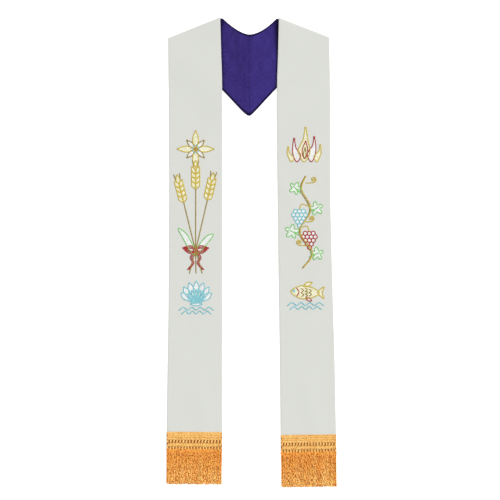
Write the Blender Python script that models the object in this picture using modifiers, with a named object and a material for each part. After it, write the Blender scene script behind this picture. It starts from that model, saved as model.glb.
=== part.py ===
"""A clerical stole, laid flat with its front up and both shoulders folded under.

Units are metres and +Z is up. The stole lies on the plane z = 0 with its neck towards +Y and its
two fringed ends towards -Y. The origin is on that plane, under the middle of the footprint.

A place on the plan is given as a side (left or right), a distance out from the centre back seam
and a drop, the distance down from the neck points.
"""

import random
from collections import namedtuple
from math import atan2, cos, exp, hypot, pi, sin, sqrt

import bmesh
import bpy
from mathutils import Vector

# Cloth: the outer cloth and the lining are walls of their own, a seam's gap apart
WALL = 0.0010
GAP = 0.0003
LAYER = WALL + GAP
COLUMNS = 6

# Plan of each half, from the neck point down to the hem: its edges' distances from the centre back
Section = namedtuple("Section", "drop inner outer")
PLAN = {
    "left": (
        Section(0.000, 0.0684, 0.1913),
        Section(0.090, 0.0660, 0.1910),
        Section(0.130, 0.0645, 0.1905),
        Section(0.170, 0.0640, 0.1901),
        Section(0.430, 0.0639, 0.1890),
        Section(0.690, 0.0639, 0.1905),
        Section(0.860, 0.0640, 0.1933),
        Section(1.017, 0.0640, 0.1956),
    ),
    "right": (
        Section(0.000, 0.0695, 0.1887),
        Section(0.090, 0.0675, 0.1893),
        Section(0.140, 0.0656, 0.1906),
        Section(0.200, 0.0650, 0.1910),
        Section(0.320, 0.0658, 0.1909),
        Section(0.430, 0.0671, 0.1915),
        Section(0.550, 0.0685, 0.1943),
        Section(0.670, 0.0702, 0.1975),
        Section(0.790, 0.0722, 0.2012),
        Section(1.0235, 0.0744, 0.2058),
    ),
}
SIGN = {"left": -1, "right": 1}

# Shoulder fold: the drops at which its outline meets the inner and the outer edge
Fold = namedtuple("Fold", "neck shoulder")
FOLDS = {"left": Fold(-0.0015, 0.0473), "right": Fold(-0.0007, 0.0455)}
FOLD_STEPS = 6

# Back yoke: the neckline's dip, half width and shape, and the rounded point of the outer edge
NECK_DIP = 0.0393
NECK_HALF = {"left": 0.0640, "right": 0.0660}
NECK_CURVE = {"left": 1.58, "right": 1.76}
POINT_DROP = 0.2314
POINT_ROUNDING = {"left": 0.0108, "right": 0.0065}
YOKE_BOW = 0.85
YOKE_ROWS = 9

# Front: rows turn from the fold's slant to level, and the cloth ramps down off the yoke's edge
LEVEL_DROP = 0.222
SLANTED_ROWS = 18
LOWER_ROW = 0.080
RAMP_MARGIN = 0.002
RAMP = 0.045

# Levels of each layer's middle over the plane: where it lies alone, and stacked over the yoke
LEVELS = {
    "outer": {"alone": 1.5 * WALL + GAP, "stacked": 3.5 * WALL + 3 * GAP, "yoke": 0.5 * WALL},
    "lining": {"alone": 0.5 * WALL, "stacked": 2.5 * WALL + 2 * GAP, "yoke": 1.5 * WALL + GAP},
}
FOLD_CENTRE = (LEVELS["outer"]["stacked"] + LEVELS["outer"]["yoke"]) / 2
FOLD_REACH = LEVELS["outer"]["stacked"] - FOLD_CENTRE + WALL / 2

# The fold isn't pressed flat at the neck points, so the front stands off the yoke there
NECK_PUFF = 0.0040
PUFF_REACH = 0.055

# Fringe: a crocheted heading over the hem, with strands drawn out of its lower edge
HEADING_OVERHANG = 0.0005
HEADING_PAST_HEM = 0.0012
STRANDS = 72
STRAND_LENGTH = 0.0858
STRAND_RAGGED = 0.0035
STRAND_SHARE = 0.76
STRAND_THICK = 0.0011
STRAND_LIFT = 0.0004
STRAND_UNEVEN = 0.0009
SWAY = 0.0016
SWAY_WAVE = 0.060
RELEASE = (0.006, 0.017)
FREE_SECTIONS = 4

# Profile of the heading: height above its lower edge, and thickness there in stitches and eyelets
Profile = namedtuple("Profile", "height thick eyelet")
HEADING = (
    Profile(0.0400, 0.0009, 0.0009),
    Profile(0.0380, 0.0016, 0.0016),
    Profile(0.0300, 0.0018, 0.0018),
    Profile(0.0215, 0.0016, 0.0016),
    Profile(0.0180, 0.0014, 0.0005),
    Profile(0.0145, 0.0016, 0.0016),
    Profile(0.0060, 0.0017, 0.0017),
    Profile(0.0028, 0.0015, 0.0005),
    Profile(0.0000, 0.0015, 0.0015),
)

# An eyelet of each row lies between the second and third of every four strands
EYELET_COLUMNS = 8
EYELET_PLACES = (3, 4)

COLOURS = {
    "outer": (0.716, 0.723, 0.680, 1.0),
    "lining": (0.046, 0.029, 0.190, 1.0),
    "fringe": (0.752, 0.323, 0.073, 1.0),
}


def smooth(share):
    """0 below 0, 1 above 1, and a soft step between."""
    share = min(max(share, 0.0), 1.0)
    return share * share * (3 - 2 * share)


def edge(side, name, drop):
    """How far the named edge of a half is from the centre back at this drop."""
    plan = PLAN[side]
    for above, below in zip(plan, plan[1:]):
        if drop <= below.drop:
            break
    share = (drop - above.drop) / (below.drop - above.drop)
    return getattr(above, name) * (1 - share) + getattr(below, name) * share


def axis_row(side):
    """The two ends of the shoulder fold's axis, as (out, drop), inner end first."""
    fold = FOLDS[side]
    neck, shoulder = edge(side, "inner", 0), edge(side, "outer", fold.shoulder)
    inset = FOLD_REACH * hypot(shoulder - neck, fold.shoulder - fold.neck) / (shoulder - neck)
    return (neck, fold.neck + inset), (shoulder, fold.shoulder + inset)


def neckline(side, out):
    """The drop of the back yoke's neckline at this distance from the centre back."""
    (_, start), _ = axis_row(side)
    return max(start, NECK_DIP * (1 - (out / NECK_HALF[side]) ** NECK_CURVE[side]))


def yoke_edge(side, out):
    """The drop of the back yoke's outer edge: a slightly bowed V with a rounded point."""
    _, (reach, end) = axis_row(side)
    rounding = POINT_ROUNDING[side]
    apex = POINT_DROP + rounding
    rise = apex + YOKE_BOW * reach**2 - end
    slope = sqrt(rise**2 - rounding**2) / reach
    return apex + YOKE_BOW * out**2 - hypot(slope * out, rounding)


def puff(side, out, drop):
    """How far the front stands off the yoke here, above where it would lie if pressed flat."""
    distance = hypot(out - edge(side, "inner", 0), drop)
    return NECK_PUFF * exp(-((distance / PUFF_REACH) ** 2))


def level_at(side, layer, out, drop):
    """The level of a front layer's middle: stacked over the yoke, alone clear of it."""
    past_edge = (drop - yoke_edge(side, out)) * sqrt(0.5)
    share = smooth((past_edge - RAMP_MARGIN) / RAMP)
    levels = LEVELS[layer]
    return levels["stacked"] * (1 - share) + levels["alone"] * share + puff(side, out, drop)


def across(inner, outer):
    """Points (out, drop) from the inner to the outer end of a row."""
    for column in range(COLUMNS + 1):
        share = column / COLUMNS
        yield tuple(a * (1 - share) + b * share for a, b in zip(inner, outer))


def front_rows(side, layer):
    """Rows of the hanging end, from its hem up to the fold's axis."""
    (_, start), (_, end) = axis_row(side)
    first, slant = (start + end) / 2, end - start
    hem = PLAN[side][-1].drop
    lower = round((hem - LEVEL_DROP) / LOWER_ROW)
    middles = [hem + (LEVEL_DROP - hem) * k / lower for k in range(lower)]
    middles += [LEVEL_DROP + (first - LEVEL_DROP) * k / SLANTED_ROWS for k in range(SLANTED_ROWS + 1)]
    for middle in middles:
        tilt = slant * max(0.0, (LEVEL_DROP - middle) / (LEVEL_DROP - first))
        high, low = middle - tilt / 2, middle + tilt / 2
        ends = (edge(side, "inner", high), high), (edge(side, "outer", low), low)
        yield [(out, drop, level_at(side, layer, out, drop)) for out, drop in across(*ends)]


def fold_rows(side, layer):
    """Rows round the shoulder fold, between the front and the yoke."""
    inner, outer = axis_row(side)
    run, fall = outer[0] - inner[0], outer[1] - inner[1]
    normal = fall / hypot(run, fall), -run / hypot(run, fall)
    radius = LEVELS[layer]["stacked"] - FOLD_CENTRE
    for step in range(1, FOLD_STEPS):
        turn = pi * step / FOLD_STEPS
        push, rise = radius * sin(turn), FOLD_CENTRE + radius * cos(turn)
        row = []
        for out, drop in across(inner, outer):
            level = rise + puff(side, out, drop) * (1 + cos(turn)) / 2
            row.append((out + normal[0] * push, drop + normal[1] * push, level))
        yield row


def yoke_rows(side, layer):
    """Rows of the back, from the fold's axis to the centre back seam."""
    (half, _), (reach, _) = axis_row(side)
    for row in range(YOKE_ROWS + 1):
        share = 1 - row / YOKE_ROWS
        inner, outer = half * share, reach * share
        ends = (inner, neckline(side, inner)), (outer, yoke_edge(side, outer))
        yield [(out, drop, LEVELS[layer]["yoke"]) for out, drop in across(*ends)]


def place(side, out, drop, level):
    """A point of the stole, half a seam's gap off the centre back."""
    return Vector((SIGN[side] * (out + GAP / 2), -drop, level))


def material(name):
    """A plain cloth material in the piece's own colour."""
    made = bpy.data.materials.get(name) or bpy.data.materials.new(name)
    made.use_nodes = True
    shader = made.node_tree.nodes["Principled BSDF"]
    shader.inputs["Base Color"].default_value = COLOURS[name]
    shader.inputs["Roughness"].default_value = 0.85
    shader.inputs["Metallic"].default_value = 0.0
    return made


def add_object(name, builder, finish, origin):
    """A named object made from a bmesh, in the stole's collection."""
    bmesh.ops.recalc_face_normals(builder, faces=builder.faces)
    mesh = bpy.data.meshes.new(name)
    builder.to_mesh(mesh)
    builder.free()
    mesh.materials.append(material(finish))
    made = bpy.data.objects.new(name, mesh)
    bpy.data.collections["stole"].objects.link(made)
    made.parent = origin
    return made


def cloth(side, layer, origin):
    """One half of the outer cloth or the lining: a single strip from the hem to the centre back."""
    rows = [*front_rows(side, layer), *fold_rows(side, layer), *yoke_rows(side, layer)]
    builder = bmesh.new()
    grid = [[builder.verts.new(place(side, *point)) for point in row] for row in rows]
    for upper, lower in zip(grid, grid[1:]):
        for k in range(COLUMNS):
            builder.faces.new((upper[k], upper[k + 1], lower[k + 1], lower[k]))
    made = add_object(f"{layer}_{side}", builder, layer, origin)
    wall = made.modifiers.new("wall", "SOLIDIFY")
    wall.thickness = WALL
    wall.offset = 0.0
    wall.use_even_offset = True


def strand_sections(root, pitch, draw):
    """Sections of a strand below its root: centre, distance down, level, half width and thickness."""
    root_thick = HEADING[-1].thick
    length = STRAND_LENGTH - draw.uniform(0, STRAND_RAGGED)
    released = RELEASE[-1]
    free = [released + (length - released) * k / FREE_SECTIONS for k in range(1, FREE_SECTIONS + 1)]
    for down in (*RELEASE, *free):
        fallen, loose = smooth(down / released), smooth((down - released) / (length - released))
        sway = SWAY * loose * sin(2 * pi * (root / SWAY_WAVE + 0.6 * down / STRAND_LENGTH))
        thick = root_thick + (STRAND_THICK - root_thick) * fallen
        rest = STRAND_LIFT + draw.uniform(0, STRAND_UNEVEN) + STRAND_THICK / 2 - 2 * LAYER
        level = root_thick / 2 + (rest - root_thick / 2) * fallen
        yield root + sway, down, level, STRAND_SHARE * pitch / 2 * (1 - 0.2 * loose), thick / 2


def fringe(side, origin):
    """One fringe in its own frame: x across it, y up from the heading's lower edge, z off its back."""
    above, hem = PLAN[side][-2:]
    width = hem.outer - hem.inner + 2 * HEADING_OVERHANG
    pitch = width / STRANDS
    roots = [pitch * (k + 0.5) - width / 2 for k in range(STRANDS)]
    half_root = STRAND_SHARE * pitch / 2
    columns = [-width / 2, *(x + half for x in roots for half in (-half_root, half_root)), width / 2]

    builder = bmesh.new()
    grid = []
    for number, x in enumerate(columns):
        eyelet = (number - 1) % EYELET_COLUMNS in EYELET_PLACES
        face = [(cut.height, cut.eyelet if eyelet else cut.thick) for cut in HEADING]
        outline = [(0.0, 0.0), (HEADING[0].height, 0.0), *face]
        grid.append([builder.verts.new((x, y, z)) for y, z in outline])
    lower_edge = []
    for left, right in zip(grid, grid[1:]):
        corners = [(left[k - 1], left[k], right[k], right[k - 1]) for k in range(len(outline))]
        faces = [builder.faces.new(four) for four in corners]
        lower_edge.append(faces[0])
    for end in (0, -1):
        builder.faces.new(grid[end])

    draw = random.Random(side)
    for root, face in zip(roots, lower_edge[1::2]):
        previous = root, HEADING[-1].thick / 2
        for middle, down, level, half_width, half_thick in strand_sections(root, pitch, draw):
            face = bmesh.ops.extrude_discrete_faces(builder, faces=[face])["faces"][0]
            for vert in face.verts:
                x = middle + half_width * (1 if vert.co.x > previous[0] else -1)
                z = level + half_thick * (1 if vert.co.z > previous[1] else -1)
                vert.co = x, -down, z
            previous = middle, level
    made = add_object(f"fringe_{side}", builder, "fringe", origin)
    middle = (hem.inner + hem.outer + GAP) / 2
    swing = (hem.inner + hem.outer - above.inner - above.outer) / 2
    made.location = SIGN[side] * middle, -hem.drop - HEADING_PAST_HEM, 2 * LAYER
    made.rotation_euler.z = SIGN[side] * atan2(swing, hem.drop - above.drop)


def centre_on_origin(origin):
    """Moves the stole so that the middle of its footprint is at the world's origin."""
    bpy.context.view_layer.update()
    graph = bpy.context.evaluated_depsgraph_get()
    pieces = [piece.evaluated_get(graph) for piece in origin.children]
    spots = [piece.matrix_world @ vert.co for piece in pieces for vert in piece.data.vertices]
    for axis in (0, 1):
        reach = [spot[axis] for spot in spots]
        origin.location[axis] = -(min(reach) + max(reach)) / 2


def main():
    for leftover in list(bpy.data.objects):
        bpy.data.objects.remove(leftover)
    collection = bpy.data.collections.new("stole")
    bpy.context.scene.collection.children.link(collection)
    origin = bpy.data.objects.new("stole_origin", None)
    collection.objects.link(origin)
    for side in PLAN:
        for layer in LEVELS:
            cloth(side, layer, origin)
        fringe(side, origin)
    centre_on_origin(origin)


main()
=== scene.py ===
"""Looks of a clerical stole that lies flat, dressed onto its construction model.

Metres, +Z up from the surface that the stole lies on, +Y towards the neck. A place on the plan is a
distance out from the centre back seam and a drop, the distance down from the neck points.
"""

import math
import random
from collections import namedtuple

import bmesh
import bpy
import numpy as np
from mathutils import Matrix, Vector


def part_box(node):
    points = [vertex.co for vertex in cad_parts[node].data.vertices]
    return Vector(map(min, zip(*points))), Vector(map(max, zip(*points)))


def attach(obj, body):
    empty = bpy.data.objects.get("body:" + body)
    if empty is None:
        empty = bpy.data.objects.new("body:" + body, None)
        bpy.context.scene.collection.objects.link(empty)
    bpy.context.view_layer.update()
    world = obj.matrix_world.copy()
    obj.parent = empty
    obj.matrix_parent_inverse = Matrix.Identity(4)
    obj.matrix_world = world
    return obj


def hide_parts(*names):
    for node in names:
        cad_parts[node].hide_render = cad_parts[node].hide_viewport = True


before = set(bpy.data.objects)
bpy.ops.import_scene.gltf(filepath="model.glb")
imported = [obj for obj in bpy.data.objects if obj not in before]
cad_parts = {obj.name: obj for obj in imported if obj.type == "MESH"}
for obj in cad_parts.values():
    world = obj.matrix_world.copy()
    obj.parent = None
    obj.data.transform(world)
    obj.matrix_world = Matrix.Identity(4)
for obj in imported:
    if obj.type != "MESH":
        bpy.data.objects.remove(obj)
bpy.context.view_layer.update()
scene = bpy.context.scene

# The stole lies on a pale floor in soft light, and is seen from straight above.
# The photograph's frame is 500 pixels wide. The centre back seam is just left of its middle, and
# the neck points are well above it.
PIXEL = 0.002364
FRAME_PIXELS = 500
SEAM_PIXELS_LEFT = 0.7
NECK_PIXELS_UP = 232
LENS = 100
SENSOR = 36
LEFT_HEM_DROP = 1.017
SEAM = (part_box("outer_left")[1][0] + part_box("outer_right")[0][0]) / 2
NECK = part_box("outer_left")[0][1] + LEFT_HEM_DROP
SKY_STRENGTH = 0.62
SUN_STRENGTH = 2.36
SUN_SPREAD = math.radians(14)
TOWARDS_SUN = Vector((0.62, 0.30, 0.72))
FLOOR_REACH = 4.0

camera = bpy.data.objects.new("camera", bpy.data.cameras.new("camera"))
camera.data.lens = LENS
camera.data.sensor_width = SENSOR
camera.location.x = SEAM + SEAM_PIXELS_LEFT * PIXEL
camera.location.y = NECK - NECK_PIXELS_UP * PIXEL
camera.location.z = FRAME_PIXELS * PIXEL * LENS / SENSOR
scene.collection.objects.link(camera)
scene.camera = camera
scene.view_settings.view_transform = "Standard"

world = bpy.data.worlds.new("studio")
world.use_nodes = True
sky = world.node_tree.nodes["Background"]
sky.inputs["Color"].default_value = (1.0, 1.0, 1.0, 1.0)
sky.inputs["Strength"].default_value = SKY_STRENGTH
scene.world = world

lamp = bpy.data.objects.new("window_light", bpy.data.lights.new("window_light", "SUN"))
lamp.data.energy = SUN_STRENGTH
lamp.data.angle = SUN_SPREAD
lamp.rotation_euler = TOWARDS_SUN.to_track_quat("Z", "Y").to_euler()
scene.collection.objects.link(lamp)


class Value:
    """A value in a node tree. Arithmetic on it adds Math nodes, and node() adds any other node."""

    def __init__(self, tree, socket=None):
        self.tree, self.socket = tree, socket

    def node(self, kind, settings=None, inputs=None, output=0):
        made = self.tree.nodes.new(kind)
        for name, setting in (settings or {}).items():
            if name == "stops":
                ramp = made.color_ramp.elements
                for k, (place, colour) in enumerate(setting):
                    stop = ramp[k] if k < 2 else ramp.new(place)
                    stop.position, stop.color = place, (*colour, 1.0)
            else:
                setattr(made, name, setting)
        for name, value in (inputs or {}).items():
            if isinstance(value, Value):
                self.tree.links.new(value.socket, made.inputs[name])
            else:
                made.inputs[name].default_value = value
        return Value(self.tree, made.outputs[output])

    def output(self, number):
        """Another output of the node that this value comes from."""
        return Value(self.tree, self.socket.node.outputs[number])

    def parts(self):
        """The X of a vector. Its Y and Z are the next outputs."""
        return self.node("ShaderNodeSeparateXYZ", None, {0: self})

    def maths(self, operation, *values):
        return self.node("ShaderNodeMath", {"operation": operation}, dict(enumerate(values)))

    def __add__(self, other):
        return self.maths("ADD", self, other)

    def __sub__(self, other):
        return self.maths("SUBTRACT", self, other)

    def __rsub__(self, other):
        return self.maths("SUBTRACT", other, self)

    def __mul__(self, other):
        return self.maths("MULTIPLY", self, other)

    def __truediv__(self, other):
        return self.maths("DIVIDE", self, other)

    __radd__, __rmul__ = __add__, __mul__

    def step(self, low, high):
        """0 below low, 1 above high, and soft between."""
        places = {"Value": self, "From Min": low, "From Max": high}
        return self.node("ShaderNodeMapRange", {"interpolation_type": "SMOOTHSTEP"}, places)

    def mix(self, low, high):
        """Blends two colours by this value."""
        return self.node("ShaderNodeMix", {"data_type": "RGBA"}, {0: self, 6: low, 7: high}, 2)

    def into(self, shader, name):
        self.tree.links.new(self.socket, shader.inputs[name])


def finish_called(name, **settings):
    """A new material, with what is the same all over it set on its shader."""
    finish = bpy.data.materials.new(name)
    finish.use_nodes = True
    shader = finish.node_tree.nodes["Principled BSDF"]
    for socket, setting in settings.items():
        shader.inputs[socket.replace("_", " ")].default_value = setting
    return finish, shader, Value(finish.node_tree)


def noise(start, place, scale, detail=2.0):
    """Uneven values from 0 to 1 at this many waves a metre."""
    inputs = {"Vector": place, "Scale": scale, "Detail": detail}
    return start.node("ShaderNodeTexNoise", None, inputs)


floor_paint, shader, start = finish_called(
    "floor_paint", Roughness=0.9, Emission_Color=(1.0, 1.0, 1.0, 1.0), Emission_Strength=0.74
)
spot = start.node("ShaderNodeTexCoord", None, None, 3)
speckle = noise(start, spot, 9.0)
speckle.mix((0.58, 0.58, 0.58, 1.0), (0.62, 0.62, 0.62, 1.0)).into(shader, "Base Color")

mesh = bpy.data.meshes.new("floor")
corners = ((-1, -1), (1, -1), (1, 1), (-1, 1))
mesh.from_pydata([(FLOOR_REACH * x, FLOOR_REACH * y, 0) for x, y in corners], [], [(0, 1, 2, 3)])
floor = bpy.data.objects.new("floor", mesh)
floor.data.materials.append(floor_paint)
scene.collection.objects.link(floor)

# Outer cloth: a fine cream plain weave in two halves, each cut as one strip from the hem to the
# centre back seam, pressed flat over its turned edges and folded under at the shoulder.
WALL = 0.0010
GAP = 0.0003
Section = namedtuple("Section", "drop inner outer")
PLAN = {
    "left": (
        Section(0.000, 0.0684, 0.1913),
        Section(0.090, 0.0660, 0.1910),
        Section(0.130, 0.0645, 0.1905),
        Section(0.170, 0.0640, 0.1901),
        Section(0.430, 0.0639, 0.1890),
        Section(0.690, 0.0639, 0.1905),
        Section(0.860, 0.0640, 0.1933),
        Section(LEFT_HEM_DROP, 0.0640, 0.1956),
    ),
    "right": (
        Section(0.000, 0.0695, 0.1887),
        Section(0.090, 0.0675, 0.1893),
        Section(0.140, 0.0656, 0.1906),
        Section(0.200, 0.0650, 0.1910),
        Section(0.320, 0.0658, 0.1909),
        Section(0.430, 0.0671, 0.1915),
        Section(0.550, 0.0685, 0.1943),
        Section(0.670, 0.0702, 0.1975),
        Section(0.790, 0.0722, 0.2012),
        Section(1.0235, 0.0744, 0.2058),
    ),
}
SIGN = {"left": -1, "right": 1}
Fold = namedtuple("Fold", "neck shoulder")
FOLDS = {"left": Fold(-0.0015, 0.0473), "right": Fold(-0.0007, 0.0455)}
NECK_DIP = 0.0393
NECK_HALF = {"left": 0.0640, "right": 0.0660}
NECK_CURVE = {"left": 1.58, "right": 1.76}
POINT_DROP = 0.2314
POINT_ROUNDING = {"left": 0.0108, "right": 0.0065}
YOKE_BOW = 0.85
LEVEL_DROP = 0.222
RAMP_MARGIN = 0.002
RAMP = 0.090
NECK_PUFF = 0.0040
PUFF_REACH = 0.055
LEVELS = {
    "outer": {"alone": 1.5 * WALL + GAP, "stacked": 3.5 * WALL + 3 * GAP, "yoke": 0.5 * WALL},
    "lining": {"alone": 0.5 * WALL, "stacked": 2.5 * WALL + 2 * GAP, "yoke": 1.5 * WALL + GAP},
}
FOLD_CENTRE = (LEVELS["outer"]["stacked"] + LEVELS["outer"]["yoke"]) / 2
FOLD_REACH = LEVELS["outer"]["stacked"] - FOLD_CENTRE + WALL / 2

# Rows and columns of a strip, close together where its pressed edges turn over. The yoke's rows
# stop at a share of the way out from the seam, with one row more between there and the seam
EDGE_TURN = np.array([0.0, 0.00004, 0.00015, 0.0003, WALL / 2])
ROW_STEP = 0.005
COLUMN_STEP = 0.004
STRIP_WIDTH = 0.126
SLANTED_ROWS = 44
FOLD_STEPS = 12
YOKE_ROWS = 34
LAST_YOKE_ROW = 0.02
SEAM_ROW = 0.009
WELD = 1e-6

# The two halves draw together at the centre back seam, where they are sewn, and the outer cloth
# is turned in a little further than the lining round the yoke
SEAM_CLOSING = 0.004
TUCK = {"outer": 0.0009, "lining": 0.0}
TUCK_RUN = 0.12

# Soft ridges left in the pressed cloth where it doesn't lie quite flat
Ridge = namedtuple("Ridge", "out drop angle length width height")
RIDGES = {
    "left": (
        Ridge(0.105, 0.300, 20, 0.090, 0.022, 0.0007),
        Ridge(0.150, 0.470, -35, 0.070, 0.018, 0.0005),
        Ridge(0.090, 0.640, 12, 0.110, 0.025, 0.0008),
        Ridge(0.160, 0.800, 40, 0.060, 0.016, 0.0005),
        Ridge(0.110, 0.930, -8, 0.080, 0.020, 0.0007),
    ),
    "right": (
        Ridge(0.155, 0.280, -25, 0.080, 0.020, 0.0006),
        Ridge(0.100, 0.430, 30, 0.075, 0.018, 0.0006),
        Ridge(0.165, 0.610, -10, 0.120, 0.024, 0.0008),
        Ridge(0.105, 0.760, -30, 0.065, 0.017, 0.0005),
        Ridge(0.150, 0.940, 15, 0.090, 0.022, 0.0007),
    ),
}


def smooth(share):
    """0 below 0, 1 above 1, and a soft step between."""
    share = np.clip(share, 0.0, 1.0)
    return share * share * (3 - 2 * share)


def edge(side, name, drop):
    """How far the named edge of a half is from the centre back at this drop."""
    cuts = PLAN[side]
    return np.interp(drop, [cut.drop for cut in cuts], [getattr(cut, name) for cut in cuts])


def fold_axis(side):
    """The two ends of the shoulder fold's axis, as (out, drop), inner end first."""
    fold = FOLDS[side]
    neck, shoulder = edge(side, "inner", 0), edge(side, "outer", fold.shoulder)
    inset = FOLD_REACH * math.hypot(shoulder - neck, fold.shoulder - fold.neck) / (shoulder - neck)
    return np.array([neck, fold.neck + inset]), np.array([shoulder, fold.shoulder + inset])


def neckline(side, out):
    """The drop of the back yoke's neckline."""
    (_, start), _ = fold_axis(side)
    return max(start, NECK_DIP * (1 - (out / NECK_HALF[side]) ** NECK_CURVE[side]))


def yoke_edge(side, out):
    """The drop of the back yoke's outer edge: a slightly bowed V with a rounded point."""
    _, (reach, end) = fold_axis(side)
    rounding = POINT_ROUNDING[side]
    apex = POINT_DROP + rounding
    rise = apex + YOKE_BOW * reach**2 - end
    slope = math.sqrt(rise**2 - rounding**2) / reach
    return apex + YOKE_BOW * out**2 - np.hypot(slope * out, rounding)


def relief(side, out, drop):
    """How far the soft ridges lift the cloth here."""
    lift = np.zeros(np.shape(out))
    for ridge in RIDGES[side]:
        turn = math.radians(ridge.angle)
        along = (drop - ridge.drop) * math.cos(turn) + (out - ridge.out) * math.sin(turn)
        aside = (out - ridge.out) * math.cos(turn) - (drop - ridge.drop) * math.sin(turn)
        fade = (aside / ridge.width) ** 2 + (along / ridge.length) ** 2
        lift += ridge.height * np.exp(-fade)
    return lift


def puff(side, out, drop):
    """How far the front stands off the yoke near the neck point, where it isn't pressed flat."""
    distance = np.hypot(out - edge(side, "inner", 0), drop)
    return NECK_PUFF * np.exp(-((distance / PUFF_REACH) ** 2))


def front_level(side, layer, out, drop):
    """The level of a front layer's middle: stacked over the yoke, alone clear of it."""
    clear = smooth(((drop - yoke_edge(side, out)) * math.sqrt(0.5) - RAMP_MARGIN) / RAMP)
    pressed = LEVELS[layer]["stacked"] * (1 - clear) + LEVELS[layer]["alone"] * clear
    return pressed + puff(side, out, drop) + relief(side, out, drop)


def strip_rows(side, layer, columns):
    """Rows (out, drop, level) of a strip's middle surface, from the hem to the centre back seam."""
    inner, outer = fold_axis(side)
    first, slant = (inner[1] + outer[1]) / 2, outer[1] - inner[1]
    hem = PLAN[side][-1].drop
    middles = [*(hem - EDGE_TURN), *np.arange(hem - ROW_STEP, LEVEL_DROP, -ROW_STEP)]
    middles += list(np.linspace(LEVEL_DROP, first, SLANTED_ROWS))
    for middle in middles:
        tilt = slant * max(0.0, (LEVEL_DROP - middle) / (LEVEL_DROP - first))
        high, low = middle - tilt / 2, middle + tilt / 2
        out = edge(side, "inner", high) * (1 - columns) + edge(side, "outer", low) * columns
        drop = high * (1 - columns) + low * columns
        yield np.stack([out, drop, front_level(side, layer, out, drop)], axis=1)

    axis = np.outer(1 - columns, inner) + np.outer(columns, outer)
    run, fall = outer - inner
    normal = np.array([fall, -run]) / math.hypot(run, fall)
    radius = LEVELS[layer]["stacked"] - FOLD_CENTRE
    lift = puff(side, *axis.T)
    for turn in np.linspace(0, math.pi, FOLD_STEPS + 1)[1:-1]:
        level = FOLD_CENTRE + radius * math.cos(turn) + lift * (1 + math.cos(turn)) / 2
        yield np.hstack([axis + normal * radius * math.sin(turn), level[:, None]])

    middle_reach = (inner[0] + outer[0]) / 2
    shares = [*np.linspace(1, LAST_YOKE_ROW, YOKE_ROWS), SEAM_ROW]
    for share in [*shares, *(EDGE_TURN[::-1] / middle_reach)]:
        ends = inner[0] * share, outer[0] * share
        drops = neckline(side, ends[0]), yoke_edge(side, ends[1])
        tuck = TUCK[layer] / (drops[1] - drops[0]) * smooth((1 - share) / TUCK_RUN)
        tucked = tuck + (1 - 2 * tuck) * columns
        out, drop = (pair[0] * (1 - tucked) + pair[1] * tucked for pair in (ends, drops))
        yield np.stack([out, drop, np.full(len(columns), LEVELS[layer]["yoke"])], axis=1)


def on_stole(name, mesh):
    """A piece with this mesh, which rides on the stole."""
    piece = bpy.data.objects.new(name, mesh)
    scene.collection.objects.link(piece)
    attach(piece, "root")
    return piece


def cloth_strip(name, side, layer, finish, lift=None, shade=None):
    """One strip of cloth as a thin closed shell with rounded edges, a UV map in metres along its
    grain, and its distance to the long edges and its painted shade kept as attributes."""
    rounding = EDGE_TURN / STRIP_WIDTH
    steps_across = round(STRIP_WIDTH / COLUMN_STEP)
    between = np.linspace(rounding[-1], 1 - rounding[-1], steps_across + 1)[1:-1]
    columns = np.concatenate([rounding, between, 1 - rounding[::-1]])
    plan = np.array(list(strip_rows(side, layer, columns)))
    shades = np.ones(plan.shape[:2]) if shade is None else shade(side, plan)
    if lift is not None:
        plan[..., 2] += lift(side, plan)
    parted = GAP / 2 * np.clip(plan[..., :1] / SEAM_CLOSING, 0, 1)
    middle = plan * (SIGN[side], -1, 1) + (SEAM, NECK, 0) + parted * (SIGN[side], 0, 0)

    steps = np.linalg.norm(np.diff(middle, axis=0), axis=2).mean(axis=1)
    along = np.concatenate([[0], np.cumsum(steps)])[:, None]
    across = (columns * STRIP_WIDTH)[None, :]
    rim = np.minimum(np.minimum(along, along[-1] - along), np.minimum(across, STRIP_WIDTH - across))
    turned = np.clip(rim / (WALL / 2), 0, 1)
    half = WALL / 2 * np.sqrt(1 - (1 - turned) ** 2)
    normals = np.cross(np.gradient(middle, axis=0), np.gradient(middle, axis=1))
    normals /= np.linalg.norm(normals, axis=2, keepdims=True)
    skins = [middle + normals * half[..., None], middle - normals * half[..., None]]

    rows, count = rim.shape
    corner = (np.arange(rows - 1)[:, None] * count + np.arange(count - 1)).ravel()
    face = np.stack([corner, corner + 1, corner + count + 1, corner + count], axis=1)
    faces = np.concatenate([face, face[:, ::-1] + rows * count])
    mesh = bpy.data.meshes.new(name)
    points = np.concatenate([skin.reshape(-1, 3) for skin in skins])
    mesh.from_pydata(points.tolist(), [], faces.tolist())
    grain = np.stack(np.broadcast_arrays(across, along), axis=2).reshape(-1, 2)
    places = np.concatenate([grain, grain])[faces.ravel()]
    spread = mesh.uv_layers.new(name="grain")
    spread.data.foreach_set("uv", places.astype(np.float32).ravel())
    side_rim = np.broadcast_to(np.minimum(across, STRIP_WIDTH - across), rim.shape)
    for attribute, values in (("rim", side_rim), ("shade", shades)):
        kept = mesh.attributes.new(attribute, "FLOAT", "POINT")
        kept.data.foreach_set("value", np.concatenate([values.ravel()] * 2).astype(np.float32))

    builder = bmesh.new()
    builder.from_mesh(mesh)
    bmesh.ops.remove_doubles(builder, verts=builder.verts, dist=WELD)
    bmesh.ops.recalc_face_normals(builder, faces=builder.faces)
    builder.to_mesh(mesh)
    builder.free()
    mesh.shade_smooth()
    mesh.materials.append(finish)
    return on_stole(name, mesh)


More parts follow.
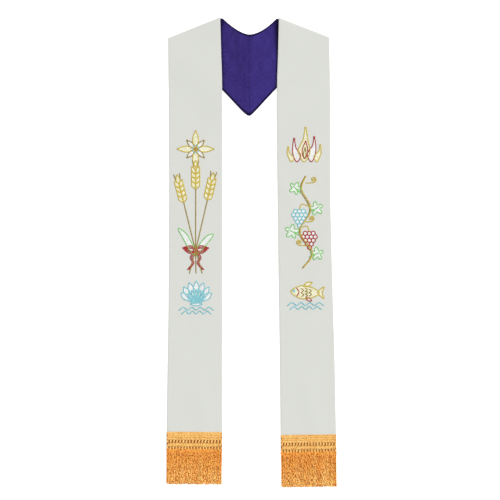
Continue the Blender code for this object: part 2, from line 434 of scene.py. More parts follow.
def plain_weave(start, threads):
    """The grain's own coordinates, and the height of a plain weave of this many threads a metre."""
    grain = start.node("ShaderNodeUVMap", {"uv_map": "grain"})
    spread = grain.parts()
    warp = spread * (math.pi * threads)
    weft = spread.output(1) * (math.pi * threads)
    over = warp.maths("SINE", warp) * weft.maths("SINE", weft)
    return grain, over * 0.5 + 0.5


def drawn_out(start, place, scales, detail):
    """Noise of a different fineness each way, in waves a metre, such as threads or flecks."""
    stretched = start.node("ShaderNodeMapping", None, {"Vector": place, "Scale": scales})
    return noise(start, stretched, 1.0, detail)


def bumpy(start, shader, height, strength, distance):
    """Lets a height from 0 to 1 stand out of a shader's surface by up to this distance."""
    inputs = {"Strength": strength, "Distance": distance, "Height": height}
    start.node("ShaderNodeBump", None, inputs).into(shader, "Normal")


def kept_on_mesh(start, name):
    """The value that a mesh keeps under this name."""
    return start.node("ShaderNodeAttribute", {"attribute_name": name}, None, 2)


OUTER_THREADS = 2200
SLUBS = (900.0, 45.0, 1.0)
# The cream is painted slightly darker within a few millimetres of the long edges: painted shade
# along their rounded edges
CREAM = (0.598, 0.606, 0.570, 1.0), (0.636, 0.644, 0.605, 1.0)
PAINTED_SHADE_CREAM = (0.575, 0.583, 0.555, 1.0)
CREAM_SHADE_RUN = 0.0002, 0.0028
outer_finish, shader, start = finish_called("cream_cloth", Roughness=0.88, Specular_IOR_Level=0.3)
grain, weave = plain_weave(start, OUTER_THREADS)
slub = drawn_out(start, grain, SLUBS, 3.0)
cloud = noise(start, grain, 14.0, 3.0)
tone = cloud * 0.4 + slub * 0.35 + weave * 0.25
# Painted shade: darker cream along the long edges
inside = kept_on_mesh(start, "rim").step(*CREAM_SHADE_RUN)
inside.mix(PAINTED_SHADE_CREAM, tone.mix(*CREAM)).into(shader, "Base Color")
bumpy(start, shader, weave * 0.6 + slub * 0.4, 0.35, 0.0002)

outers = {side: cloth_strip(f"outer_cloth_{side}", side, "outer", outer_finish) for side in PLAN}
for side, piece in outers.items():
    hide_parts(f"outer_{side}")

# Lining: purple satin in two halves of the outer cloth's cut, slip stitched to it all round.
# It shows on the yoke, where its seam allowances are pressed open under the centre back seam.
ALLOWANCE = 0.0095
ALLOWANCE_LIFT = 0.00022
ALLOWANCE_STEP = 0.0016

# Painted shade on the lining beside the panels, wider at the neck points, and on the right along
# the seam
PANEL_SHADE_WIDTH = 0.0046
PANEL_SHADE_WIDENING = {"left": 0.0180, "right": 0.0130}
PANEL_SHADE_LENGTH = {"left": 0.024, "right": 0.095}
PANEL_SHADE_CORE = 0.25
SEAM_SHADE_WIDTH = 0.0011
SEAM_SHADE = {"left": 0.0, "right": 0.30}

# Soft upright hollows in the left half of the lining, each painted a little darker as painted shade
Hollow = namedtuple("Hollow", "out drop width length shade")
HOLLOW_DEPTH = 0.0012
HOLLOWS = {
    "left": (
        Hollow(0.0320, 0.080, 0.0125, 0.090, 0.12),
        Hollow(0.0290, 0.055, 0.0040, 0.050, 0.10),
        Hollow(0.0128, 0.125, 0.0036, 0.080, 0.16),
    ),
    "right": (),
}


def hollow(side, plan):
    """How much painted shade the lining's hollows give here; their depth in the cloth follows it.
    """
    out, drop, _ = np.moveaxis(plan, 2, 0)
    depth = np.zeros(out.shape)
    for low in HOLLOWS[side]:
        fade = ((out - low.out) / low.width) ** 2 + ((drop - low.drop) / low.length) ** 2
        depth += low.shade * np.exp(-fade)
    return depth


def allowance(side, plan):
    """The low step that the pressed seam allowances make beside the seam, and the hollows."""
    step = smooth((ALLOWANCE + ALLOWANCE_STEP / 2 - plan[..., 0]) / ALLOWANCE_STEP)
    return ALLOWANCE_LIFT * step - HOLLOW_DEPTH * hollow(side, plan)


def painted_shade_mask(side, plan):
    """How unshaded the lining is here: 0 in full painted shade beside the panel's inner edge, 1
    away from it, less in the seam and the hollows.
    """
    out, drop, _ = np.moveaxis(plan, 2, 0)
    width = PANEL_SHADE_WIDTH + PANEL_SHADE_WIDENING[side] * np.clip(1 - drop / PANEL_SHADE_LENGTH[side], 0, 1)
    # Painted shade along the centre back seam, on the right half only
    in_seam = SEAM_SHADE[side] * np.exp(-((out / SEAM_SHADE_WIDTH) ** 2))
    beside = np.abs(edge(side, "inner", drop) - out)
    return smooth(beside / width - PANEL_SHADE_CORE) * (1 - in_seam - hollow(side, plan))


# The satin's threads and floats a metre, and the near-black navy of its painted shade along the
# edges, wider on the yoke's outer side
LINING_THREADS = 3200
FLOATS = (1300.0, 160.0, 1.0)
SATIN_PAINTED_SHADE = (0.0030, 0.0002, 0.0400, 1.0)
SATIN_SHADE_RUN = 0.0024, 0.0046
SATIN_SHADE_WIDENING = 0.40
OUTER_SIDE = 0.050, 0.076


def satin(name, shade, light):
    """Satin lining: long floats of thread with a soft gloss, with painted shade along its edges."""
    finish, shader, start = finish_called(name, Specular_IOR_Level=0.12)
    grain, weave = plain_weave(start, LINING_THREADS)
    floats = drawn_out(start, grain, FLOATS, 2.0)
    cloud = noise(start, grain, 34.0, 4.0)
    mottle = noise(start, grain, 260.0)
    tone = (cloud * 0.45 + floats * 0.15 + mottle * 0.4).step(0.34, 0.66)
    body = tone.mix((*shade, 1.0), (*light, 1.0))
    outer_side = grain.parts().step(*OUTER_SIDE)
    rim = kept_on_mesh(start, "rim") / (outer_side * SATIN_SHADE_WIDENING + 1.0)
    # Painted shade: near-black navy mixed in along the edges and where the kept shade is low
    lit = rim.step(*SATIN_SHADE_RUN) * kept_on_mesh(start, "shade")
    lit.mix(SATIN_PAINTED_SHADE, body).into(shader, "Base Color")
    (0.52 + floats * 0.12).into(shader, "Roughness")
    bumpy(start, shader, floats * 0.7 + weave * 0.3, 0.25, 0.0001)
    return finish


# The left half is painted a little darker and duller than the right: painted shade for its duller
# sheen
LINING_SHADES = {
    "left": ((0.0215, 0.0103, 0.108), (0.0425, 0.0240, 0.186)),
    "right": ((0.0235, 0.0120, 0.124), (0.0450, 0.0262, 0.206)),
}
for side, shades in LINING_SHADES.items():
    finish = satin(f"purple_satin_{side}", *shades)
    name = f"lining_{side}_satin"
    cloth_strip(name, side, "lining", finish, allowance, painted_shade_mask)
    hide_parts(f"lining_{side}")

# Embroidery: rayon thread sewn onto the fronts before they are lined, coloured stem stitch round
# shapes filled with white or cream satin stitch. It is a design of general ornaments: a star, wheat
# and a shell on the left, and a flame, a vine and a fish on the right.
ZONE_FOOT = 0.702
THREADS = {
    "gold": (0.560, 0.420, 0.038),
    "bronze": (0.300, 0.205, 0.010),
    "blue": (0.200, 0.520, 0.580),
    "red": (0.360, 0.009, 0.007),
    "green": (0.205, 0.560, 0.150),
    "cream": (0.960, 0.915, 0.620),
    "white": (0.960, 0.970, 0.940),
}
FILLS = {"gold": "cream", "bronze": "white", "blue": "white", "red": "white", "green": "white"}

# The design is drawn in millimetres from the middle of its foot, with a point at each drawn step.
# Its satin rows stay inside the outline, and are left out where a shape is too narrow for them
DRAWN_STEP = 2.5
FILL_ROWS = 1.1
FILL_INSET = 0.8
FILL_LEAST = 2.2
Shape = namedtuple("Shape", "colour points closed filled")


def blade(colour, base, length, width, angle, belly=1.0, filled=True):
    """A leaf, grain or petal: a closed almond from its base, turned clockwise from upright."""
    turn = math.radians(angle)
    ahead = np.array([math.sin(turn), math.cos(turn)])
    aside = np.array([math.cos(turn), -math.sin(turn)])
    share = np.linspace(0, 1, max(7, round(length / DRAWN_STEP)))
    swell = width / 2 * np.sin(math.pi * share**belly)
    sides = [np.outer(share * length, ahead) + np.outer(swell * sign, aside) for sign in (1, -1)]
    points = np.array(base) + np.concatenate([sides[0], sides[1][-2:0:-1]])
    return Shape(colour, points, True, filled)


def ring(colour, centre, radius, filled=True, count=None):
    """A circle."""
    turn = np.linspace(0, 2 * math.pi, count or max(10, round(radius * 2.4)), endpoint=False)
    points = np.array(centre) + radius * np.stack([np.sin(turn), np.cos(turn)], axis=1)
    return Shape(colour, points, True, filled)


def line(colour, *knots, closed=False, filled=False):
    """A smooth line through a few knots."""
    knots = np.array(knots, float)
    count = len(knots)
    points = []
    for k in range(count if closed else count - 1):
        near = [n % count if closed else min(max(n, 0), count - 1) for n in range(k - 1, k + 3)]
        before, here, there, after = knots[near]
        steps = max(3, round(np.linalg.norm(there - here) / DRAWN_STEP))
        share = np.linspace(0, 1, steps, endpoint=False)[:, None]
        curve = 2 * here + (there - before) * share
        curve += (2 * before - 5 * here + 4 * there - after) * share**2
        curve += (3 * here - before - 3 * there + after) * share**3
        points.append(curve / 2)
    if not closed:
        points.append(knots[-1:])
    return Shape(colour, np.concatenate(points), closed, filled)


def placed(x, y, knots):
    """The knots of a motif, moved to its place."""
    return [(x + a, y + b) for a, b in knots]


def ripples(x, y, wide):
    """A short wavy line of water."""
    knots = [(x + wide * (k / 4 - 1), y + (3.2 if k % 2 else -3.2)) for k in range(9)]
    return line("blue", *knots)


def star(x, y):
    """Eight rays round a ring, four of them longer."""
    rays = [blade("gold", (x, y), 43, 14, 90 * k) for k in range(4)]
    rays += [blade("bronze", (x, y), 29, 10, 90 * k + 45) for k in range(4)]
    return [*rays, ring("blue", (x, y), 8), ring("red", (x, y), 3, False)]


def wheat(x, y):
    """Three ears on crossing stalks, with long leaves and a ribbon where they are tied."""
    shapes = []
    for lean, tall, foot in ((-14, 118, 15), (13, 123, -14), (0, 146, 1)):
        turn = math.radians(lean)
        ahead = np.array([math.sin(turn), math.cos(turn)])
        aside = np.array([ahead[1], -ahead[0]])
        neck = np.array([x, y]) + tall * ahead
        stalk = (x + foot, y - 52), (x + foot * 0.3, y - 12), (x, y), tuple(neck)
        shapes.append(line("bronze", *stalk))
        for tier in range(4):
            base = neck + ahead * 11.5 * tier
            for sign in (-1, 1):
                shapes.append(blade("gold", base, 20, 9.5, lean + sign * 27))
        shapes.append(blade("gold", neck + ahead * 44, 22, 9.5, lean))
        for sign in (-1, 1):
            tip = neck + ahead * 54 + 5 * sign * aside
            shapes.append(line("bronze", tip, tip + 13 * ahead + 2 * sign * aside))
    leaves = (
        ((-4, 6), (-22, 40), (-41, 52), (-30, 30), (-7, -8)),
        ((5, 8), (26, 34), (42, 38), (30, 20), (6, -6)),
    )
    for leaf in leaves:
        shapes.append(line("green", *placed(x, y, leaf), closed=True, filled=True))
    for sign in (-1, 1):
        for length, width in ((31, 18), (28, 12), (24, 6)):
            shapes.append(blade("red", (x, y), length, width, 78 * sign, 0.8, False))
        for aside in (0, 3.6):
            knots = (aside, 0), (9 + aside, -16), (4 + aside, -29), (15 + aside, -44)
            shapes.append(line("red", *[(x + sign * a, y + b) for a, b in knots]))
    shapes.append(ring("red", (x, y), 5))
    return shapes


def shell(x, y):
    """A scallop shell over two ripples."""
    shapes = []
    for k in range(-3, 4):
        shapes.append(blade("blue", (x + 2.2 * k, y), 52 - 1.6 * k * k, 13.5, 17 * k, 1.7))
        shapes.append(blade("blue", (x + 2.2 * k, y + 3), 30 - 1.4 * k * k, 4, 17 * k, 1.7, False))
    shapes.append(blade("blue", (x - 14, y - 2), 28, 9, 90))
    return [*shapes, ripples(x, y - 13, 40), ripples(x, y - 22, 34)]


def flame(x, y):
    """Five tongues of flame, gold and red by turns, with smaller ones inside the middle one."""
    tongues = (
        (-30, 36, 13, -7, "gold"),
        (30, 40, 13, 8, "gold"),
        (-17, 56, 18, -6, "red"),
        (17, 60, 18, 7, "red"),
        (0, 82, 27, 4, "gold"),
    )
    shapes = []
    for shift, tall, wide, bend, colour in tongues:
        left = (-wide / 2, tall * 0.30), (bend - wide * 0.20, tall * 0.66)
        right = (bend + wide * 0.22, tall * 0.60), (wide / 2, tall * 0.26)
        knots = placed(x + shift, y, ((0, 0), *left, (bend, tall), *right))
        shapes.append(line(colour, *knots, closed=True, filled=True))
    shapes.append(blade("red", (x + 1, y + 7), 42, 13, 4, 0.8, False))
    shapes.append(blade("bronze", (x + 1, y + 7), 26, 6, 4, 0.8, False))
    return shapes


def vine(x, y):
    """A winding stem with leaves, tendrils and two bunches of grapes."""
    stem = placed(x, y, ((-6, 0), (15, 34), (-13, 84), (13, 136), (-8, 184), (2, 214)))
    shapes = [line("bronze", *stem), line("gold", *placed(3.0, 1.5, stem))]
    leaves = ((11, 26), 68, 30), ((-12, 76), -62, 32), ((12, 130), 60, 31), ((-7, 176), -48, 28)
    for stalk, turn, size in leaves:
        base = np.array([x, y]) + stalk
        heading = math.radians(turn)
        centre = base + size * 0.62 * np.array([math.sin(heading), math.cos(heading)])
        turns = np.linspace(0, 2 * math.pi, 40, endpoint=False)
        notch = 0.22 * np.exp(-(((turns - math.pi) / 0.35) ** 2))
        lobes = size / 2 * (0.80 + 0.26 * np.cos(5 * turns) - notch)
        around = np.stack([np.sin(turns + heading), np.cos(turns + heading)], axis=1)
        rim = centre + lobes[:, None] * around
        shapes.append(Shape("green", rim, True, True))
        shapes.append(line("green", tuple(base), tuple(centre + (centre - base) * 0.35)))
    for bend, sign, colour in (((-13, 92), 1, "red"), ((13, 144), -1, "blue")):
        joint = x + bend[0], y + bend[1]
        top = np.array([joint[0] + 24 * sign, joint[1] - 6])
        shapes.append(line("gold", joint, (top[0] - 6 * sign, top[1] + 12), tuple(top)))
        for tier, count in enumerate((3, 4, 3, 2, 1)):
            for k in range(count):
                grape = top + np.array([9.4 * (k - (count - 1) / 2), -5 - 8.4 * tier])
                shapes.append(ring(colour, grape, 4.7, True, 12))
    for foot, sign in (((4, 52), -1), ((0, 108), 1), ((6, 200), 1)):
        turns = np.linspace(0, 3.4 * math.pi, 9)
        sweep = np.stack([np.sin(turns) * sign, -np.cos(turns)], axis=1)
        sweep *= (1 - turns / 12.5)[:, None]
        coil = np.array([x + foot[0] + 17 * sign, y + foot[1] + 8]) + 7 * sweep
        shapes.append(line("gold", (x + foot[0], y + foot[1]), *[tuple(p) for p in coil]))
    return shapes


def fish(x, y):
    """A fish over two ripples."""
    body = placed(x, y, ((-34, 3), (-10, 17), (18, 12), (33, 0), (18, -10), (-10, -13)))
    tail = placed(x, y, ((29, 1), (44, 14), (40, 0), (44, -13)))
    shapes = [line("gold", *knots, closed=True, filled=True) for knots in (body, tail)]
    shapes.append(line("red", *placed(x, y, ((-20, 11), (-15, 2), (-20, -7)))))
    for across, up in ((-8, 6), (-8, -4), (1, 8), (1, 1), (1, -6), (10, 5), (10, -3)):
        scale = placed(x + across, y + up, ((0, 3.5), (4, 0), (0, -3.5)))
        shapes.append(line("bronze", *scale))
    shapes.append(blade("gold", (x - 4, y + 16), 22, 10, 66))
    shapes.append(blade("red", (x + 1, y - 12), 15, 7, 115))
    shapes.append(ring("blue", (x - 27, y + 5), 2.2, False))
    return [*shapes, ripples(x, y - 26, 42), ripples(x, y - 35, 36)]


DESIGNS = {
    "left": [*star(0, 392), *wheat(0, 152), *shell(2, 28)],
    "right": [*flame(1, 362), *vine(0, 112), *fish(-1, 52)],
}


def on_panel(side, points):
    """Places (across, up) in millimetres from the foot of the embroidery, on top of the panel."""
    across, drop = points[:, 0] / 1000, ZONE_FOOT - points[:, 1] / 1000
    out = (edge(side, "inner", drop) + edge(side, "outer", drop)) / 2 + SIGN[side] * across
    level = front_level(side, "outer", out, drop) + WALL / 2
    return np.stack([SEAM + SIGN[side] * out, NECK - drop, level], axis=1)


def tree_called(name, **kinds):
    """A new geometry nodes tree, a start for its nodes, and the values of its named inputs."""
    tree = bpy.data.node_groups.new(name, "GeometryNodeTree")
    tree.interface.new_socket("Geometry", in_out="OUTPUT", socket_type="NodeSocketGeometry")
    for words, kind in kinds.items():
        tree.interface.new_socket(words, in_out="INPUT", socket_type=f"NodeSocket{kind}")
    given = tree.nodes.new("NodeGroupInput").outputs
    return tree, Value(tree), [Value(tree, given[words]) for words in kinds]


def ended(tree, made, finish):
    """The tree, ended with what it made, shaded smoothly and in its finish."""
    soft = made.node("GeometryNodeSetShadeSmooth", None, {0: made})
    done = made.node("GeometryNodeSetMaterial", None, {"Geometry": soft, "Material": finish})
    tree.links.new(done.socket, tree.nodes.new("NodeGroupOutput").inputs[0])
    return tree


def chance(start, seed, low=0.0, high=1.0):
    """A random number for each point or instance."""
    inputs = {2: low, 3: high, "Seed": seed}
    return start.node("FunctionNodeRandomValue", {"data_type": "FLOAT"}, inputs, 1)


def kept_by(geometry, domain, name, number):
    """The geometry, with a number kept on it under a name."""
    settings = {"data_type": "FLOAT", "domain": domain}
    inputs = {"Geometry": geometry, "Name": name, "Value": number}
    return geometry.node("GeometryNodeStoreNamedAttribute", settings, inputs)


LEAN_SEED = 3
TINT_SEED = 8


def stitch_tree():
    """Geometry nodes that lay stitches along the lines of a mesh."""
    tree, start, given = tree_called(
        "stitches",
        Lines="Geometry",
        Pitch="Float",
        Stitch="Vector",
        Slant="Float",
        Uneven="Float",
        Finish="Material",
    )
    lines, pitch, size, slant, uneven, finish = given
    curve = start.node("GeometryNodeMeshToCurve", None, {0: lines})
    spacing = {"Curve": curve, "Length": pitch}
    spaced = start.node("GeometryNodeResampleCurve", {"mode": "LENGTH"}, spacing)
    grain = start.node("GeometryNodeMeshUVSphere", None, {"Segments": 6, "Rings": 5, "Radius": 0.5})
    lying = {"Geometry": grain, "Rotation": (0.0, math.pi / 2, 0.0)}
    level = start.node("GeometryNodeTransform", None, lying)
    stitch = start.node("GeometryNodeTransform", None, {"Geometry": level, "Scale": size})
    along = {"Vector": start.node("GeometryNodeInputTangent")}
    axes = {"axis": "X", "pivot_axis": "Z"}
    aimed = start.node("FunctionNodeAlignRotationToVector", axes, along)
    wobble = chance(start, LEAN_SEED, uneven * -1.0, uneven)
    leaning = start.node("ShaderNodeCombineXYZ", None, {2: slant + wobble})
    lean = start.node("FunctionNodeEulerToRotation", None, {0: leaning})
    own_axes = {"rotation_space": "LOCAL"}
    turned = start.node("FunctionNodeRotateRotation", own_axes, {0: aimed, 1: lean})
    placing = {"Points": spaced, "Instance": stitch, "Rotation": turned}
    laid = start.node("GeometryNodeInstanceOnPoints", None, placing)
    tinted = kept_by(laid, "INSTANCE", "tint", chance(start, TINT_SEED))
    real = start.node("GeometryNodeRealizeInstances", None, {0: tinted})
    return ended(tree, real, finish)


STITCHES = stitch_tree()


def grown(name, tree, mesh, **inputs):
    """A piece that rides on the stole: the plain mesh that a tree grows from a mesh."""
    seed = bpy.data.objects.new(name, mesh)
    scene.collection.objects.link(seed)
    growth = seed.modifiers.new("growth", "NODES")
    growth.node_group = tree
    for socket in tree.interface.items_tree:
        if socket.in_out == "INPUT" and socket.name in inputs:
            growth[socket.identifier] = inputs[socket.name]
    graph = bpy.context.evaluated_depsgraph_get()
    made = bpy.data.meshes.new_from_object(seed.evaluated_get(graph), depsgraph=graph)
    seed.modifiers.clear()
    seed.data = made
    made.name = name
    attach(seed, "root")
    return seed


def chains(paths):
    """A mesh of open or closed lines through the points of each path."""
    points, edges = [], []
    for path, closed in paths:
        first, count = len(points), len(path)
        points += [tuple(point) for point in path]
        edges += [(first + k, first + k + 1) for k in range(count - 1)]
        if closed:
            edges.append((first + count - 1, first))
    mesh = bpy.data.meshes.new("chains")
    mesh.from_pydata(points, edges, [])
    return mesh


def satin_lines(points):
    """Level lines across a closed shape, from edge to edge."""
    lines = []
    following = np.roll(points, -1, axis=0)
    low, high = points[:, 1].min(), points[:, 1].max()
    for level in np.arange(low + FILL_ROWS / 2, high, FILL_ROWS):
        crossing = (points[:, 1] > level) != (following[:, 1] > level)
        a, b = points[crossing], following[crossing]
        spots = np.sort(a[:, 0] + (level - a[:, 1]) * (b[:, 0] - a[:, 0]) / (b[:, 1] - a[:, 1]))
        for left, right in zip(spots[::2], spots[1::2]):
            if right - left > FILL_LEAST:
                lines.append(np.array([[left + FILL_INSET, level], [right - FILL_INSET, level]]))
    return lines


THREAD_TWIST = 1600.0
THREAD_SHARES = 0.72, 1.22


def embroidery_thread(name, colour):
    """Silky thread: each stitch has its own tint, and a fine grain of twist."""
    finish, shader, start = finish_called(f"{name}_thread", Roughness=0.42, Sheen_Weight=0.15)
    place = start.node("ShaderNodeTexCoord", None, None, 3)
    twist = noise(start, place, THREAD_TWIST)
    tone = kept_on_mesh(start, "tint") * 0.7 + twist * 0.3
    dark, light = ([min(1.0, part * share) for part in colour] for share in THREAD_SHARES)
    tone.mix((*dark, 1.0), (*light, 1.0)).into(shader, "Base Color")
    bumpy(start, shader, twist, 0.4, 0.0001)
    return finish


# A stitch is given as its length, width and thickness, and lies a little above the cloth
STEM_STITCH = {
    "Stitch": (0.0056, 0.0023, 0.0013),
    "Pitch": 0.0021,
    "Slant": math.radians(17),
    "Uneven": 0.07,
}
STEM_LEVEL = 0.00035
SATIN_STITCH = {"Stitch": (0.0052, 0.0013, 0.0006), "Pitch": 0.0030, "Slant": 0.0, "Uneven": 0.03}
SATIN_LEVEL = 0.00012

threads = {colour: embroidery_thread(colour, shade) for colour, shade in THREADS.items()}
for side, shapes in DESIGNS.items():
    for colour, thread in threads.items():
        if colour in FILLS:
            sewing, raised = STEM_STITCH, (0, 0, STEM_LEVEL)
            drawn = [(shape.points, shape.closed) for shape in shapes if shape.colour == colour]
        else:
            sewing, raised = SATIN_STITCH, (0, 0, SATIN_LEVEL)
            filled = [shape for shape in shapes if shape.filled and FILLS[shape.colour] == colour]
            drawn = [(row, False) for shape in filled for row in satin_lines(shape.points)]
        paths = [(on_panel(side, points) + raised, closed) for points, closed in drawn]
        name = f"{colour}_embroidery_{side}"
        piece = grown(name, STITCHES, chains(paths), Finish=thread, **sewing)

# Fringe heading: a braid crocheted from gold rayon, with two rows of eyelets between upright
# stitches. Its stitches lie over a tape in painted shade, dark brown, and both are sewn over the
# hem.
HEADING_OVERHANG = 0.0005
HEADING_PAST_HEM = 0.0012
HEADING_BACK = 2 * (WALL + GAP)
HEADING_HEIGHT = 0.0400
TAPE_INSET = 0.0008
TAPE_THICKNESS = 0.0008
TAPE_CUTS = 24
EYELETS = 18

# Rows of stitches from the top down, at their height above the heading's lower edge. Those without
# a pitch of their own are the upright stitches, with an eyelet between each two
Row = namedtuple("Row", "height pitch length width thick slant level")
HEADING_ROWS = (
    Row(0.0388, 0.0034, 0.0056, 0.0030, 0.0014, 12, 0.0009),
    Row(0.0350, 0.0036, 0.0092, 0.0037, 0.0020, -50, 0.0012),
    Row(0.0295, 0.0036, 0.0092, 0.0037, 0.0020, 50, 0.0012),
    Row(0.0240, 0.0036, 0.0088, 0.0037, 0.0020, -50, 0.0012),
    Row(0.0175, None, 0.0084, 0.0054, 0.0018, 74, 0.0009),
    Row(0.0094, 0.0036, 0.0128, 0.0037, 0.0021, 55, 0.0012),
    Row(0.0018, None, 0.0070, 0.0053, 0.0018, 82, 0.0009),
)


def heading_spot(side):
    """The middle of the heading's lower edge, the ways right and down from it, and its width."""
    above, hem = PLAN[side][-2:]
    spread = (hem.inner + hem.outer - above.inner - above.outer) / 2
    swing = SIGN[side] * math.atan2(spread, hem.drop - above.drop)
    out = (hem.inner + hem.outer + GAP) / 2
    middle = np.array([SEAM + SIGN[side] * out, NECK - hem.drop - HEADING_PAST_HEM, HEADING_BACK])
    rightward = np.array([math.cos(swing), math.sin(swing), 0])
    down = np.array([math.sin(swing), -math.cos(swing), 0])
    return middle, rightward, down, hem.outer - hem.inner + 2 * HEADING_OVERHANG


# Each gold runs from a dark through a middle to a light tone. The strands' roots lie in the shade
# of the heading
GOLDS = {
    "braid": ((0.64, 0.25, 0.037), (0.87, 0.475, 0.124), (0.97, 0.63, 0.20)),
    # The tape is painted dark brown as the shade that shows through the eyelets
    "tape": ((0.20, 0.050, 0.001), (0.26, 0.070, 0.002), (0.31, 0.085, 0.003)),
    # On the strands the flecks are partly the rayon's own uneven tone and partly painted light: the
    # dark end is painted shade in the gaps between strands, the whitish light end painted glints
    "strand": ((0.36, 0.06, 0.002), (0.94, 0.40, 0.055), (1.00, 0.84, 0.32)),
}
GOLD_STOPS = (0.0, 0.6, 1.0)
TONE_AND_GLINT_FLECKS = (420.0, 300.0, 420.0)
FILAMENTS = 1500.0
LINK_LENGTH = 0.0022
ROOT_SHADE = 0.4
ROOT_RUN = -0.02, 0.12


def fringe_gold(kind, roughness, links=0.0):
    """Gold rayon thread: each stitch or strand has its own tint, with fine filaments along it and,
    on the strands, the small links of a knitted chain."""
    name = f"gold_{kind}"
    finish, shader, start = finish_called(name, Roughness=roughness, Specular_IOR_Level=0.4)
    along = kept_on_mesh(start, "along")
    place = start.node("ShaderNodeTexCoord", None, None, 3)
    # Flecks: the rayon's own uneven tone, with painted shade and painted glints
    fleck_tone_and_glint = drawn_out(start, place, TONE_AND_GLINT_FLECKS, 2.0).step(0.40, 0.52)
    filament = noise(start, place, FILAMENTS)
    rooted = along.step(*ROOT_RUN) * (ROOT_SHADE * links) + (1 - ROOT_SHADE * links)
    tone = (kept_on_mesh(start, "tint") * 0.25 + fleck_tone_and_glint * 0.60 + filament * 0.15) * rooted
    stops = {"stops": tuple(zip(GOLD_STOPS, GOLDS[kind]))}
    start.node("ShaderNodeValToRGB", stops, {"Fac": tone}).into(shader, "Base Color")
    link = along.maths("SINE", along * (math.pi / LINK_LENGTH))
    height = filament * (1 - links) + link.maths("ABSOLUTE", link) * links
    bumpy(start, shader, height, 0.6, 0.0003)
    return finish


def built(name, builder, finish):
    """A piece of the heading, from the mesh that was built."""
    mesh = bpy.data.meshes.new(name)
    builder.to_mesh(mesh)
    builder.free()
    mesh.materials.append(finish)
    piece = on_stole(name, mesh)
    return piece


braid_finish = fringe_gold("braid", 0.45)
tape_shade_finish = fringe_gold("tape", 0.7)

for side in PLAN:
    middle, rightward, down, width = heading_spot(side)
    half, tall = width / 2 - TAPE_INSET, HEADING_HEIGHT - TAPE_INSET
    corners = ((-1, 0), (1, 0), (1, 1), (-1, 1))
    builder = bmesh.new()
    spots = [middle + rightward * half * a - down * tall * b for a, b in corners]
    builder.faces.new([builder.verts.new(spot) for spot in spots])
    bmesh.ops.subdivide_edges(builder, edges=builder.edges, cuts=TAPE_CUTS, use_grid_fill=True)
    raised = bmesh.ops.extrude_face_region(builder, geom=builder.faces[:])["geom"]
    raised = [part for part in raised if isinstance(part, bmesh.types.BMVert)]
    bmesh.ops.translate(builder, verts=raised, vec=(0, 0, TAPE_THICKNESS))
    bmesh.ops.recalc_face_normals(builder, faces=builder.faces)
    tape = built(f"heading_tape_{side}", builder, tape_shade_finish)
    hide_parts(f"fringe_{side}")

    builder = bmesh.new()
    for row in HEADING_ROWS:
        turn = math.radians(row.slant)
        inset = width / 2 - math.hypot(row.length * math.cos(turn), row.width * math.sin(turn)) / 2
        ends = [middle + rightward * inset * a - down * row.height for a in (-1, 1)]
        raised = [end + (0, 0, row.level) for end in ends]
        stitches = grown(
            "row",
            STITCHES,
            chains([(raised, False)]),
            Pitch=row.pitch or 2 * inset / EYELETS,
            Stitch=(row.length, row.width, row.thick),
            Slant=turn,
            Uneven=0.10,
            Finish=braid_finish,
        )
        builder.from_mesh(stitches.data)
        bpy.data.objects.remove(stitches)
    built(f"heading_braid_{side}", builder, braid_finish)

# Fringe strands: crinkled chains of gold rayon, looped through the heading's lower edge in small
# groups. They lie loosely over each other in three layers, straighter at the fringe's two sides.
STRAND_LENGTH = 0.0858
STRETCH = 0.940, 0.985
STRAND_POINTS = 60
STRAND_SIDES = 5
ROOT_RISE = 0.0003
ROOT_LEVEL = 0.0004
ROOT_STEP = 0.0003
SCATTER = 0.0003
FRINGE_SEED = {"left": 4, "right": 5}
FLOOR_CLEARANCE = 0.0001
EDGE_STIFFNESS = 0.75
EDGE_POWER = 10

# A strand comes loose and falls to its level over its first millimetres. It crinkles on its own,
# less up and down than sideways, and drifts with its neighbours. Strands and layers lie apart in
# the noise that crinkles them, and the links of each strand start at their own place
LOOSENING = 0.0, 0.012
FALLING = 0.001, 0.017
CRINKLE_DETAIL = 2.5
CRINKLE_LIFT = 0.55
STRANDS_APART = 37.0
LAYERS_APART = 3.1
LINK_START = 0.01
DRIFT = 0.005
DRIFT_WAVES = 38.0
Layer = namedtuple("Layer", "count radius level wave amplitude gather seed")
STRAND_LAYERS = (
    Layer(104, 0.00095, 0.0012, 60.0, 0.0020, 0.0, 11),
    Layer(52, 0.00110, 0.0022, 150.0, 0.0095, 0.3, 12),
    Layer(46, 0.00110, 0.0034, 170.0, 0.0110, 0.6, 13),
)


def kept_number(start, name):
    """The number that a geometry keeps under this name."""
    kind = "GeometryNodeInputNamedAttribute"
    return start.node(kind, {"data_type": "FLOAT"}, {"Name": name})


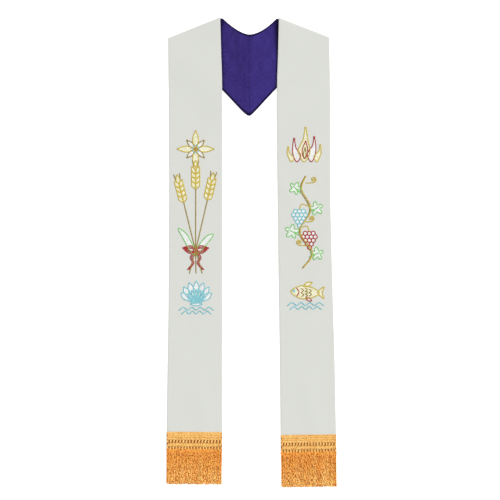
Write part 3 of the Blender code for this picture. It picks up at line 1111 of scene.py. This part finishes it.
def strand_tree():
    """Geometry nodes that hang a crinkled strand from each point of a mesh."""
    tree, start, given = tree_called(
        "strands",
        Roots="Geometry",
        Hang="Vector",
        Fall="Float",
        Radius="Float",
        Wave="Float",
        Amplitude="Float",
        Seed="Int",
        Finish="Material",
    )
    roots, hang, fall, radius, wave, amplitude, seed, finish = given
    strand = start.node("GeometryNodeCurvePrimitiveLine", None, {"End": hang})
    spacing = {"Curve": strand, "Count": STRAND_POINTS}
    fine = start.node("GeometryNodeResampleCurve", {"mode": "COUNT"}, spacing)
    hanging = {"Points": roots, "Instance": fine, "Scale": chance(start, seed, *STRETCH)}
    hung = start.node("GeometryNodeInstanceOnPoints", None, hanging)
    slack = kept_number(start, "slack")
    # Strands near the fringe's two sides get a lower tint and so are painted darker: painted shade
    # at the sides
    tinted = kept_by(hung, "INSTANCE", "tint", chance(start, seed + 5) * slack)
    real = start.node("GeometryNodeRealizeInstances", None, {0: tinted})

    down = start.node("GeometryNodeSplineParameter", None, None, 1)
    loose, fallen = down.step(*LOOSENING), down.step(*FALLING)
    own = kept_number(start, "tint")
    apart = {0: own * STRANDS_APART, 1: down * wave, 2: seed * LAYERS_APART}
    place = start.node("ShaderNodeCombineXYZ", None, apart)
    bends = noise(start, place, 1.0, CRINKLE_DETAIL).output(1).parts()
    spot = start.node("GeometryNodeInputPosition")
    drifts = noise(start, spot, DRIFT_WAVES, 1.5).output(1).parts()
    wander = (bends - 0.5) * amplitude + (drifts - 0.5) * DRIFT
    sideways = wander * (loose * slack) + kept_number(start, "pull") * (1 - loose)
    hung_height = spot.parts().output(2)
    lifted = (bends.output(2) - 0.5) * amplitude * CRINKLE_LIFT * fallen
    height = hung_height + lifted - fall * fallen
    height = height.maths("MAXIMUM", height, radius + FLOOR_CLEARANCE)
    shift = start.node("ShaderNodeCombineXYZ", None, {0: sideways, 2: height - hung_height})
    moved = start.node("GeometryNodeSetPosition", None, {"Geometry": real, "Offset": shift})
    linked = kept_by(moved, "POINT", "along", down + own * LINK_START)
    round_section = {"Resolution": STRAND_SIDES, "Radius": radius}
    profile = start.node("GeometryNodeCurvePrimitiveCircle", None, round_section)
    sweeping = {"Curve": linked, "Profile Curve": profile, "Fill Caps": True}
    return ended(tree, start.node("GeometryNodeCurveToMesh", None, sweeping), finish)


STRANDS = strand_tree()
strand_finish = fringe_gold("strand", 0.38, 0.7)
for side in PLAN:
    middle, rightward, down, width = heading_spot(side)
    post_pitch = width / EYELETS
    draw = random.Random(FRINGE_SEED[side])
    for number, layer in enumerate(STRAND_LAYERS):
        inset = width / 2 - layer.radius
        even = [inset * (2 * (k + 0.5) / layer.count - 1) for k in range(layer.count)]
        places = [x + draw.uniform(-SCATTER, SCATTER) for x in even]
        pulls = [round((x + width / 2) / post_pitch) * post_pitch - width / 2 - x for x in places]
        root = HEADING_BACK + ROOT_LEVEL + ROOT_STEP * number
        mesh = bpy.data.meshes.new("roots")
        spots = [middle + rightward * x - down * ROOT_RISE for x in places]
        mesh.from_pydata([(x, y, root) for x, y, _ in spots], [], [])
        slacks = [1 - EDGE_STIFFNESS * abs(x / inset) ** EDGE_POWER for x in places]
        for attribute, values in (("pull", [layer.gather * p for p in pulls]), ("slack", slacks)):
            kept = mesh.attributes.new(attribute, "FLOAT", "POINT")
            kept.data.foreach_set("value", values)
        piece = grown(
            f"strands_{side}_{number + 1}",
            STRANDS,
            mesh,
            Hang=tuple(down * (STRAND_LENGTH + ROOT_RISE)),
            Fall=root - layer.level,
            Radius=layer.radius,
            Wave=layer.wave,
            Amplitude=layer.amplitude,
            Seed=layer.seed + FRINGE_SEED[side],
            Finish=strand_finish,
        )

# The cut of each strip, unfolded at the shoulder: the smallest rectangle that holds it, and the
# areas of the outer cloth and of the lining, which takes the inside of the fold.
for side in PLAN:
    trim = [f"heading_tape_{side}", f"heading_braid_{side}"]
    trim += [f"strands_{side}_{number + 1}" for number in range(len(STRAND_LAYERS))]
